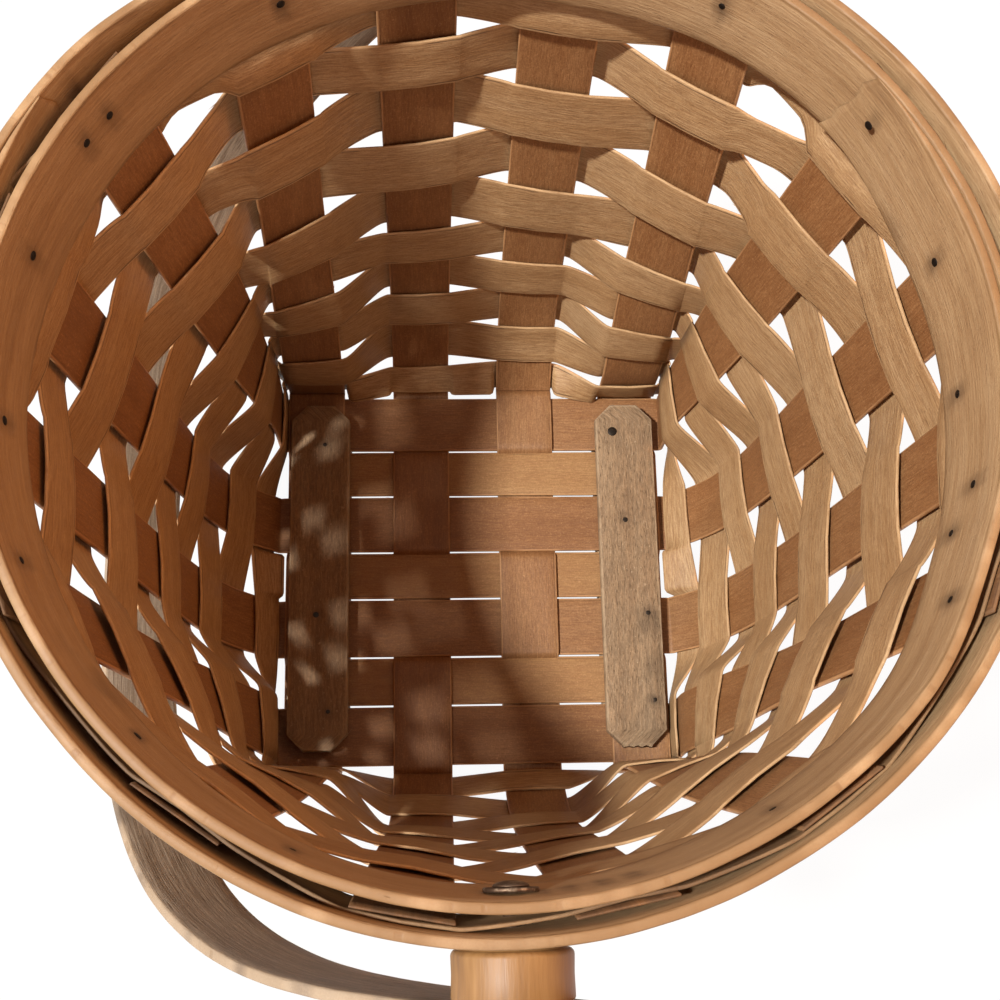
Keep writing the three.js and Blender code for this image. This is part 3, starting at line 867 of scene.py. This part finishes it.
# One stake's middle sheet, from the top of one wall, down, across the base and up the opposite wall
def stakeSheet(farQuarter, nearQuarter, place, lifts):
    half = splint["stakeWidth"] / 2
    out = np.array([*sideOut[farQuarter], 0.0])
    across = -np.array([*sideAlong[farQuarter], 0.0])
    foot = np.linspace(wall["footClimb"], 40 * mm, 16)
    levels = np.concatenate([foot, np.linspace(44 * mm, wallLength, 42)])

    def upright(quarter, sidePlace, sign):
        point, sideways, rise = uprightFrame(quarter, sidePlace, heightAt(sidePlace, levels))[:3]
        return point[:, None] + sideways[:, None] * (sign * half * columns)[None, :, None], rise

    def knee(direction, lift, wallStation, rise):
        start = across * place + out * direction * baseEdge + np.array([0, 0, baseLevel + lift])
        begin = start[None] + across[None] * (half * columns)[:, None]
        reach = np.linalg.norm(wallStation - begin, axis=1, keepdims=True) * 0.5
        first, last = begin + out * direction * reach, wallStation - rise * reach
        steps = np.linspace(0, 1, stake["kneeSteps"])[1:-1]
        return np.array([bezier(begin, first, last, wallStation, t) for t in steps])

    distances = np.arange(-baseEdge, baseEdge + 0.01 * mm, stake["floorStep"]).tolist()
    distances.append(baseEdge)
    for slit in slits:
        distances += [slit + shift * mm for shift in (-2.3, -1.5, -0.75, 0, 0.75, 1.5, 2.3)]
    distances = np.unique(np.round(distances, 5))
    distances = distances[np.concatenate([[True], np.diff(distances) > 0.3 * mm])]
    height = np.full(len(distances), lifts[0] * splint["crossLift"])
    for slit, lower, upper in zip(slits, lifts, lifts[1:]):
        change = (upper - lower) * splint["crossLift"]
        height += change * smooth(slit - stake["crossRun"], slit + stake["crossRun"], distances)
    floor = across * place + out * distances[:, None]
    floor[:, 2] = baseLevel + height
    floor = floor[:, None] + across[None, None] * (half * columns)[None, :, None]
    nearWall, nearRise = upright(nearQuarter, place, 1)
    farWall, farRise = upright(farQuarter, -place, -1)
    nearKnee = knee(-1, lifts[0] * splint["crossLift"], nearWall[0], nearRise[0])
    farKnee = knee(1, lifts[-1] * splint["crossLift"], farWall[0], farRise[0])
    return np.concatenate([nearWall[::-1], nearKnee[::-1], floor, farKnee, farWall])


stakeValues = {
    "Swing": 0.0,
    "Thickness": splint["stakeThickness"],
    "Edge ease": 0.75,
    "Ripple": stake["ripple"],
    "Waver": 0.12 * mm,
    "Splinter share": 0.006,
    "Splinter length": 3 * mm,
}


# The stakes' tops are pressed thinner between the hoops
def pressedTop(sheet):
    low = rimLevel - rim["height"]
    return 1 - (1 - rim["pressed"]) * smooth(low - rim["pressRun"], low, sheet[..., 2])


# The base part of a stake is rubbed paler than its ends in the walls, and its top gets the painted shade
# between the hoops
def rubbedAndShaded(sheet):
    def change(edgeToneStainShade):
        edgeToneStainShade = gapShaded(sheet)(edgeToneStainShade)
        edgeToneStainShade[..., 1] += stake["rub"] * (1 - smooth(*stake["rubRun"], sheet[..., 2] - baseLevel))
        return edgeToneStainShade

    return change


for i, place in enumerate(places):
    lifts = [lift if i % 2 == 0 else -lift for lift in stake["pattern"]]
    ways = (
        ("Lengthwise", stakeSheet(1, 3, place, lifts), 21, 0),
        ("Crosswise", stakeSheet(2, 0, place, [0]), 31, 4),
    )
    for way, sheet, seed, firstTone in ways:
        name, node = f"stake{way}{i + 1}", f"stake_{way.lower()}_{i + 1}"
        extra = {"skive": pressedTop(sheet), "edgeToneStainShade": rubbedAndShaded(sheet)}
        strip(name, node, sheet, "stake", stakeValues, seed + i, stake["tones"][firstTone + i], extra=extra)

filler = {
    "width": 20.6 * mm,
    "length": 164 * mm,
    "stations": 60,
    "waver": 0.2 * mm,
    "tone": 0.5,
    "toneStep": 0.06,
}
for i, place in enumerate(places[:-1]):
    sheet = np.zeros((filler["stations"], wide, 3))
    sheet[..., 0] = np.linspace(-filler["length"] / 2, filler["length"] / 2, filler["stations"])[:, None]
    sheet[..., 1] = place + splint["pitch"] / 2 + columns * filler["width"] / 2
    sheet[..., 2] = baseLevel
    values = dict(stakeValues, Waver=filler["waver"])
    tone = filler["tone"] + filler["toneStep"] * i
    strip(f"baseFiller{i + 1}", f"base_filler_{i + 1}", sheet, "base", values, 41 + i, tone, slot="weaver")
print("stakes laid: 8, fillers: 3")

nails = {
    "inner": [(118, 244.6), (144.5, 249), (149, 249), (164, 244.6), (184.5, 243), (202, 249), (60, 247.5),
              (35.5, 249), (16.5, 242), (359.5, 237), (346.5, 246), (341, 239), (331.5, 250), (300, 246),
              (246, 247), (225, 244), (82, 246)],
    "runner": [(67.8, 23.2), (76.1, -19.5), (77.3, -58.1), (-67, 59.3), (-70, -18.8), (-64.3, -61.2)],
    "radius": 1.15 * mm,
    "height": 0.2 * mm,
    "runnerHead": (1.1 * mm, 0.12 * mm),
    "big": (63.6, 65.1),
    "bigHead": (2.4 * mm, 0.3 * mm),
    "skidHead": (1.8 * mm, 0.3 * mm),
    "skidLevel": 0.2 * mm,
    "stainReach": 4.2 * mm,
    "stainDepth": 1.0,
    "runnerReach": 3.4 * mm,
    "runnerDepth": 0.7,
    "smear": [(273, 247), (276, 246), (279.5, 247), (283, 247.5)],
}


# Dark stains round some spots, longer up and down than sideways
def stained(points, spots, reach, depth):
    def change(edgeToneStainShade):
        edgeToneStainShade = edgeToneStainShade.copy()
        for spot in spots:
            distance = np.linalg.norm((points - spot) * [1, 1, 0.55], axis=-1)
            edgeToneStainShade[..., 2] = np.maximum(edgeToneStainShade[..., 2], depth * np.clip(1 - distance / reach, 0, 1))
        return edgeToneStainShade

    return change


slat = {
    "width": 26 * mm,
    "length": 156 * mm,
    "corner": 7 * mm,
    "runner": 5.5 * mm,
    "skid": 8 * mm,
    "notches": {"left": 0.1 * mm, "right": 0.5 * mm},
}


# A runner or skid: a thick strip with cut corners
def slatSheet(x, bottom, thickness, notch):
    ends = np.array([0, 0.12, 0.3, 0.6, 1.2, 2.5, 4, 5.5, 7]) * mm
    inner = np.linspace(9 * mm, slat["length"] - 9 * mm, 70)
    along = np.concatenate([ends, inner, slat["length"] - ends[::-1]])
    toEnd = np.minimum(along, slat["length"] - along)
    half = slat["width"] / 2 - np.maximum(slat["corner"] - toEnd, 0)
    sheet = np.zeros((len(along), wide, 3))
    sheet[..., 0] = x + half[:, None] * columns[None, :]
    sheet[..., 1] = (along - slat["length"] / 2)[:, None]
    sheet[..., 2] = bottom + thickness / 2
    sheet[:3, :, 1] += notch * np.sin(columns * 9 + 2) * np.array([1, 0.8, 0.4])[:, None]
    return sheet[:, ::-1]


slatValues = dict(stakeValues, Ripple=0.22 * mm, Waver=0.0)
slatValues.update({"Edge ease": 0.35, "Splinter share": 0.05, "Splinter length": 3.5 * mm})
for side, (name, notch) in zip((-1, 1), slat["notches"].items()):
    for kind, node in (("runner", f"inner_runner_{name}"), ("skid", f"base_skid_{name}")):
        low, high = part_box(node)
        sheet = slatSheet((low.x + high.x) / 2, low.z, slat[kind], notch)
        spots = [(x * mm, y * mm, (low.z + high.z) / 2) for x, y in nails["runner"]]
        extra = {"edgeToneStainShade": stained(sheet, spots, nails["runnerReach"], nails["runnerDepth"])}
        if kind == "skid":
            extra = None
        seed = 51 + side + (4 if kind == "skid" else 0)
        values = dict(slatValues, Thickness=slat[kind])
        strip(kind + name.capitalize(), node, sheet, "runner", values, seed, 0.5, slot=kind, extra=extra)
print("runners and skids nailed")

hoops = {
    "Inner": {
        "middle": rim["innerFace"] - rim["thickness"] / 2,
        "layer": -1,
        "start": rim["innerStart"],
        "seed": 61,
        "tone": 0.5,
    },
    "Outer": {
        "middle": rim["radius"] - rim["thickness"] / 2,
        "layer": 1,
        "start": rim["outerStart"],
        "seed": 62,
        "tone": 0.55,
    },
}


# How far out the middle of a hoop lies at half its height, after it has turned through some degrees
def hoopRadius(hoop, travelled):
    middle = hoop["middle"] - wall["flare"] * rim["height"] / 2
    step = hoop["layer"] * (rim["thickness"] + rim["gap"])
    return middle + step * (1 - smooth(rim["lap"], rim["lap"] + rim["lapRun"], travelled))


# A hoop's middle sheet, and the share of its thickness that is left where its ends are skived
def hoopSheet(hoop):
    total = 360 + rim["lap"] - rim["endGap"]
    travelled = np.linspace(0, total, 420)[:, None] + 0 * columns[None, :]
    jag = np.sin(columns * 7) * 0.4 + np.sin(columns * 15 + 1) * 0.2 + columns * 1.5
    travelled = travelled + jag[None, :] * (np.exp(-travelled / 3) - np.exp(-(total - travelled) / 3))
    angle = np.radians(hoop["start"] - travelled)
    lengths = np.radians(travelled) * hoop["middle"]
    toEnd = np.minimum(lengths, np.max(lengths) - lengths)
    skive = rim["endShare"] + (1 - rim["endShare"]) * smooth(0, rim["endRun"], toEnd)
    radius = hoopRadius(hoop, travelled)
    radius -= hoop["layer"] * np.where(travelled < 180, 1, -1) * (1 - skive) * rim["thickness"] / 2
    rise = columns[None, :] * rim["height"] / 2
    if hoop["layer"] < 0:
        trimmed = rim["trimmed"] + heaped(np.degrees(angle), rim["shaved"], rim["shavedReach"])
        rise = rise + trimmed * (1 - columns[None, :]) / 2
    radius = radius + rise * math.sin(rim["slope"])
    waves = rim["wave"] * np.sin(angle * 2 + hoop["layer"]) + rim["smallWave"] * np.sin(angle * 5)
    height = pivotLevel + rise * math.cos(rim["slope"]) + waves - rim["sag"]
    sheet = np.stack([np.cos(angle) * radius, np.sin(angle) * radius, height], -1)
    return uneven(sheet, 1)[:, ::-1], skive[:, ::-1]


# Where nails go through a hoop's face, from angles and levels, and which way their heads look
def nailPlaces(hoop, places):
    spots, lies = [], []
    face = hoop["layer"] * rim["thickness"] / 2
    for angle, level in places:
        rise = (level * mm - pivotLevel) / math.cos(rim["slope"])
        radius = float(hoopRadius(hoop, (hoop["start"] - angle) % 360))
        radius += rise * math.sin(rim["slope"]) + face * math.cos(rim["slope"])
        turn = math.radians(angle)
        way = np.array([math.cos(turn), math.sin(turn)])
        spots.append((*(way * radius), level * mm - face * math.sin(rim["slope"])))
        lies.append((*(way * hoop["layer"]), -hoop["layer"] * wall["flare"]))
    return uneven(spots, 1), np.array(lies)


hoopValues = dict(stakeValues, Thickness=rim["thickness"], Ripple=0.3 * mm, Waver=0.0)
hoopValues.update({"Edge ease": 0.6, "Splinter share": 0.004})
for name, hoop in hoops.items():
    sheet, skive = hoopSheet(hoop)
    spots, lies = nailPlaces(hoop, nails["inner"] + (nails["smear"] if name == "Inner" else []))
    extra = {"skive": skive, "edgeToneStainShade": stained(sheet, spots, nails["stainReach"], nails["stainDepth"])}
    node, seed, tone = name.lower() + "_hoop", hoop["seed"], hoop["tone"]
    strip("rimHoop" + name, node, sheet, "hoop", hoopValues, seed, tone, closed=False, extra=extra)
print("hoops bent")

# How far out the uneven rim moves what sits on the pivot line on its near and its far side
pivotReach = {side: float(np.abs(uneven([[0, side, 0]], 1)[0, 1])) for side in (-1, 1)}

arch = {
    "width": 28.8 * mm,
    "thickness": 3.4 * mm,
    "rise": 208 * mm,
    "squareness": 3.2,
    "tail": 28 * mm,
    "halfSpan": 158.1 * mm,
    "hang": 51,
    "stations": 190,
}


def handleSheet():
    squash = 2 / arch["squareness"]
    turn = math.pi * np.linspace(0, 1, 1600)
    y = -np.sign(np.cos(turn)) * arch["halfSpan"] * np.abs(np.cos(turn)) ** squash
    z = arch["rise"] * np.maximum(np.sin(turn), 0) ** squash
    length = pathLengths(np.stack([y, z], -1))
    even = np.linspace(0, length[-1], arch["stations"])
    y, z = np.interp(even, length, y), np.interp(even, length, z)
    half = arch["width"] / 2
    tail = np.radians(np.concatenate([[4, 9, 15], np.linspace(22, 90, 9)]))
    tailDrop = half * (1 - np.cos(tail)) - arch["tail"]
    y = np.concatenate([np.full(len(tail), y[0]), y, np.full(len(tail), y[-1])])
    z = np.concatenate([tailDrop, z, tailDrop[::-1]])
    taper = np.sin(tail) * half
    widths = np.concatenate([taper, np.full(arch["stations"], half), taper[::-1]])
    x = widths[:, None] * columns
    y = np.repeat(y[:, None], wide, 1) * np.where(y[:, None] < 0, pivotReach[-1], pivotReach[1])
    lean = -math.radians(90 + arch["hang"])
    out = x * math.cos(lean) + z[:, None] * math.sin(lean)
    height = pivotLevel - x * math.sin(lean) + z[:, None] * math.cos(lean)
    return np.stack([out, y, height], -1)


handleValues = {**hoopValues, "Thickness": arch["thickness"], "Splinter share": 0.0}
strip("bentHandle", "handle", handleSheet(), "handle", handleValues, 71, 0.5, body="handle")
print("handle bent")


# A turned piece on the pivot line, from a profile of radius and distance out from the middle. The first
# points, up to the one numbered seat, lie no further in than the outer hoop's face
def turnedPiece(name, node, profile, side, material, slot, seat=-1):
    mesh = bmesh.new()
    rings = []
    for i, (radius, out) in enumerate(profile):
        if radius < 1e-6:
            rings.append([mesh.verts.new((0, side * out * pivotReach[side], pivotLevel))])
            continue
        ring = []
        for k in range(spacer["segments"]):
            turn = 2 * math.pi * k / spacer["segments"]
            x, z = radius * math.cos(turn), pivotLevel + radius * math.sin(turn)
            reach = out
            if i <= seat:
                hoopFace = rim["radius"] + spacer["seatGap"] + wall["flare"] * (z - rimLevel)
                reach = max(out, math.sqrt(hoopFace**2 - x * x))
            ring.append(mesh.verts.new((x, side * reach * pivotReach[side], z)))
        rings.append(ring)
    for first, second in zip(rings, rings[1:]):
        if len(first) == 1 and len(second) == 1:
            continue
        for k in range(spacer["segments"]):
            around = [(first, k), (first, k + 1), (second, k + 1), (second, k)]
            corners = list(dict.fromkeys(ring[place % len(ring)] for ring, place in around))
            if len(corners) > 2:
                mesh.faces.new(corners)
    bmesh.ops.recalc_face_normals(mesh, faces=mesh.faces)
    data = bpy.data.meshes.new(name)
    mesh.to_mesh(data)
    mesh.free()
    data.polygons.foreach_set("use_smooth", [True] * len(data.polygons))
    data.materials.append(material)
    pieceFrom(name, data, "basket", slot, [node])


# Points of a profile on a quarter ellipse
def quarterEllipse(radius, height, start, turns):
    return [(radius * math.cos(turn), start + height * math.sin(turn)) for turn in np.radians(turns)]


spacer = {
    "radius": 15 * mm,
    "length": 12 * mm,
    "chamfer": 1.6 * mm,
    "chamferStart": 0.2 * mm,
    "seatGap": 0.05 * mm,
    "segments": 72,
    "pale": (0.28, 0.155, 0.057),
    "mid": (0.215, 0.11, 0.036),
    "dark": (0.12, 0.055, 0.018),
}


# Turned wood: the grain runs out along the pivot, so the side shows long streaks and the end its rings
def turnedWood():
    material, g = newMaterial("turnedSpacer")
    place = g.add("ShaderNodeTexCoord", output="Object")
    streaks = g.noise(place, (900, 60, 900), 3, 0.6)
    rings = g.noise(place, (90, 20, 260), 3, 0.5)
    stops = [(0.25, spacer["dark"]), (0.5, spacer["mid"]), (0.8, spacer["pale"])]
    colour = g.ramp(rings * 0.55 + streaks * 0.45, stops)
    g.coat(colour, 0.42 + streaks * 0.2, g.bump(streaks, 0.3, 0.4 * mm))
    return material


metal = {"bright": (0.3, 0.22, 0.15), "tarnish": (0.09, 0.055, 0.035), "rust": (0.12, 0.05, 0.022)}
nailTones = {"bright": (0.07, 0.05, 0.035), "tarnish": (0.022, 0.016, 0.012), "rust": (0.05, 0.024, 0.012)}


# Metal with patches of tarnish, of which there is more at a greater share, and specks of rust
def agedMetal(name, share, tones):
    material, g = newMaterial(name)
    place = g.add("ShaderNodeTexCoord", output="Object")
    patches = g.noise(place, (420, 420, 420), 4, 0.6)
    pits = g.noise(place, (1900, 1900, 1900), 2, 0.5)
    tarnished = g.between(patches, 0.6 - share * 0.4, 0.75 - share * 0.3)
    colour = g.mix(tarnished, tones["bright"], tones["tarnish"])
    colour = g.mix(g.between(pits, 0.55, 0.7) * 0.6, colour, tones["rust"])
    g.coat(colour, 0.38 + patches * 0.3, g.bump(pits, 0.4, 0.2 * mm), {"Metallic": 0.85})
    return material


spacerWood = turnedWood()
rivetMetal = agedMetal("agedRivet", 0.85, metal)
nailMetal = agedMetal("darkNail", 1.0, nailTones)

rivet = {
    "radius": 3 * mm,
    "shaft": 2.2 * mm,
    "headRadius": 7 * mm,
    "headHeight": 3 * mm,
    "burrRadius": 7 * mm,
    "burrThickness": 1.2 * mm,
    "burrEdge": 0.3 * mm,
    "peenRadius": 4.6 * mm,
    "peenHeight": 1.5 * mm,
    "peenGap": 0.1 * mm,
    "headGap": 0.4 * mm,
}


def spacerProfile():
    radius, chamfer = spacer["radius"], spacer["chamfer"]
    inner = radius - chamfer
    start = rim["radius"] - wall["flare"] * rim["height"] - 2 * mm
    end = rim["radius"] + spacer["length"]
    profile = [(0, rim["radius"] - 6 * mm), (inner * 0.5, start), (inner, start)]
    for turn in np.radians(np.linspace(0, 90, 6)):
        shoulder = rim["radius"] + spacer["chamferStart"] + chamfer * (1 - math.cos(turn))
        profile.append((inner + chamfer * math.sin(turn), shoulder))
    profile += [(radius - 0.15 * mm, rim["radius"] + 6 * mm), (radius, end - 0.6 * mm)]
    return profile + [(radius - 0.2 * mm, end - 0.15 * mm), (radius - 0.6 * mm, end), (0, end)]


def burrProfile(back, face):
    radius, edge = rivet["burrRadius"], rivet["burrEdge"]
    profile = [(rivet["radius"], back), (radius - edge, back), (radius, back - edge)]
    profile += [(radius, face + edge), (radius - edge, face), (rivet["radius"], face)]
    return profile + profile[:1]


def rivetProfile(face):
    start = face - rivet["peenGap"]
    outer = arch["halfSpan"] + arch["thickness"] / 2 + rivet["headGap"]
    profile = quarterEllipse(rivet["peenRadius"], -rivet["peenHeight"], start, np.linspace(90, 0, 8))
    profile += [(rivet["shaft"], start), (rivet["shaft"], outer)]
    profile += quarterEllipse(rivet["headRadius"], rivet["headHeight"], outer, np.linspace(0, 90, 10))
    profile[0] = (0, profile[0][1])
    profile[-1] = (0, profile[-1][1])
    return profile


burrBack = rim["innerFace"] - wall["flare"] * rim["height"] / 2 - rim["thickness"]
burrFace = burrBack - rivet["burrThickness"]
for name, side in (("Near", -1), ("Far", 1)):
    lower = name.lower()
    burr = burrProfile(burrBack, burrFace)
    profile = spacerProfile()
    turnedPiece(f"spacer{name}", f"handle_spacer_{lower}", profile, side, spacerWood, "spacer", seat=2)
    turnedPiece(f"burr{name}", f"rivet_burr_{lower}", burr, side, rivetMetal, "rivet")
    turnedPiece(f"rivet{name}", f"handle_rivet_{lower}", rivetProfile(burrFace), side, rivetMetal, "rivet")
print("pivots riveted")


def nailPiece(name, spots, lies, radius, height, seed):
    mesh = meshFrom(name, np.array(spots), [], {"lie": np.array(lies)})
    values = {"Radius": radius, "Height": height, "Seed": seed, "Material": nailMetal}
    grown(name, mesh, nailHeads, values, "basket", "rivet")


for name, hoop, seed in (("rimNailsInside", hoops["Inner"], 3), ("rimNailsOutside", hoops["Outer"], 5)):
    nailPiece(name, *nailPlaces(hoop, nails["inner"]), nails["radius"], nails["height"], seed)
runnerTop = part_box("inner_runner_right")[1].z
flatNails = (
    ("runnerNails", nails["runner"], runnerTop, 1, nails["runnerHead"], 7),
    ("runnerBigNail", [nails["big"]], runnerTop, 1, nails["bigHead"], 8),
    ("skidNails", nails["runner"], nails["skidLevel"], -1, nails["skidHead"], 9),
)
for name, nailed, level, way, head, seed in flatNails:
    spots = [(x * mm, y * mm, level) for x, y in nailed]
    nailPiece(name, spots, [(0, 0, way)] * len(spots), *head, seed)
print("nails driven")

camera = {
    "place": (-17.65 * mm, -125.3 * mm, 558.8 * mm),
    "turn": (13.54, -2.75, -1.18),
    "lens": 45.03,
    "shiftUp": 0.0619,
}
cameraData = bpy.data.cameras.new("camera")
cameraData.lens = camera["lens"]
cameraData.sensor_width = 36
cameraData.shift_y = camera["shiftUp"]
cameraObject = bpy.data.objects.new("camera", cameraData)
cameraObject.location = camera["place"]
cameraObject.rotation_euler = [math.radians(angle) for angle in camera["turn"]]
scene.collection.objects.link(cameraObject)
scene.camera = cameraObject

studio = {
    "world": 0.34,
    "worldColour": (1.0, 0.3, 0.055),
    # each lamp's power, size, place and colour
    "lamps": {
        "key": (285, 0.3, (-1.96, -0.4, 3.55), (1.0, 0.99, 0.95)),
        "bounce": (12, 0.6, (1.2, 0.3, 1.22), (1.0, 0.42, 0.12)),
        "front": (7, 0.8, (0.1, -1.2, 1.1), (1.0, 0.92, 0.84)),
        "far": (5, 0.7, (0.55, 1.3, 1.5), (1.0, 0.97, 0.88)),
    },
    "aim": (0, 0, 0.12),
    "floorHalf": 4,
    "floorColour": (0.86, 0.85, 0.83),
    "floorWhite": 0.95,
}


# One for a ray that shows a thing to the camera, straight or by way of a shiny or clear surface
def seenRays(g):
    straight = g.add("ShaderNodeLightPath", output="Is Camera Ray")
    seen = g.sum("MAXIMUM", straight, straight.beside("Is Glossy Ray"))
    return g.sum("MAXIMUM", seen, straight.beside("Is Transmission Ray"))


world = bpy.data.worlds.new("studio")
scene.world = world
world.use_nodes = True
world.node_tree.nodes.clear()
g = Graph(world.node_tree)
seen = seenRays(g)
strength = seen * (1 - studio["world"]) + studio["world"]
sky = g.mix(seen, studio["worldColour"], (1.0, 1.0, 1.0))
background = g.add("ShaderNodeBackground", None, {"Color": sky, "Strength": strength})
g.add("ShaderNodeOutputWorld", None, {"Surface": background})

for name, (power, size, place, colour) in studio["lamps"].items():
    lamp = bpy.data.lights.new(name, "AREA")
    lamp.energy = power
    lamp.size = size
    lamp.color = colour
    lampObject = bpy.data.objects.new(name, lamp)
    lampObject.location = place
    aim = Vector(studio["aim"]) - Vector(place)
    lampObject.rotation_euler = aim.to_track_quat("-Z", "Y").to_euler()
    scene.collection.objects.link(lampObject)

floorMesh = bpy.data.meshes.new("floor")
half = studio["floorHalf"]
floorCorners = [(-half, -half, 0), (half, -half, 0), (half, half, 0), (-half, half, 0)]
floorMesh.from_pydata(floorCorners, [], [(0, 1, 2, 3)])
floor = bpy.data.objects.new("floor", floorMesh)
scene.collection.objects.link(floor)
material, g = newMaterial("paleFloor")
matte = g.add("ShaderNodeBsdfDiffuse", None, {"Color": studio["floorColour"]})
white = g.add("ShaderNodeEmission", None, {"Color": (1.0, 1.0, 1.0), "Strength": 1.0})
both = g.add("ShaderNodeMixShader", None, {0: seenRays(g) * studio["floorWhite"], 1: matte, 2: white})
g.add("ShaderNodeOutputMaterial", None, {"Surface": both})
floorMesh.materials.append(material)

scene.view_settings.view_transform = "Standard"
print("studio set")
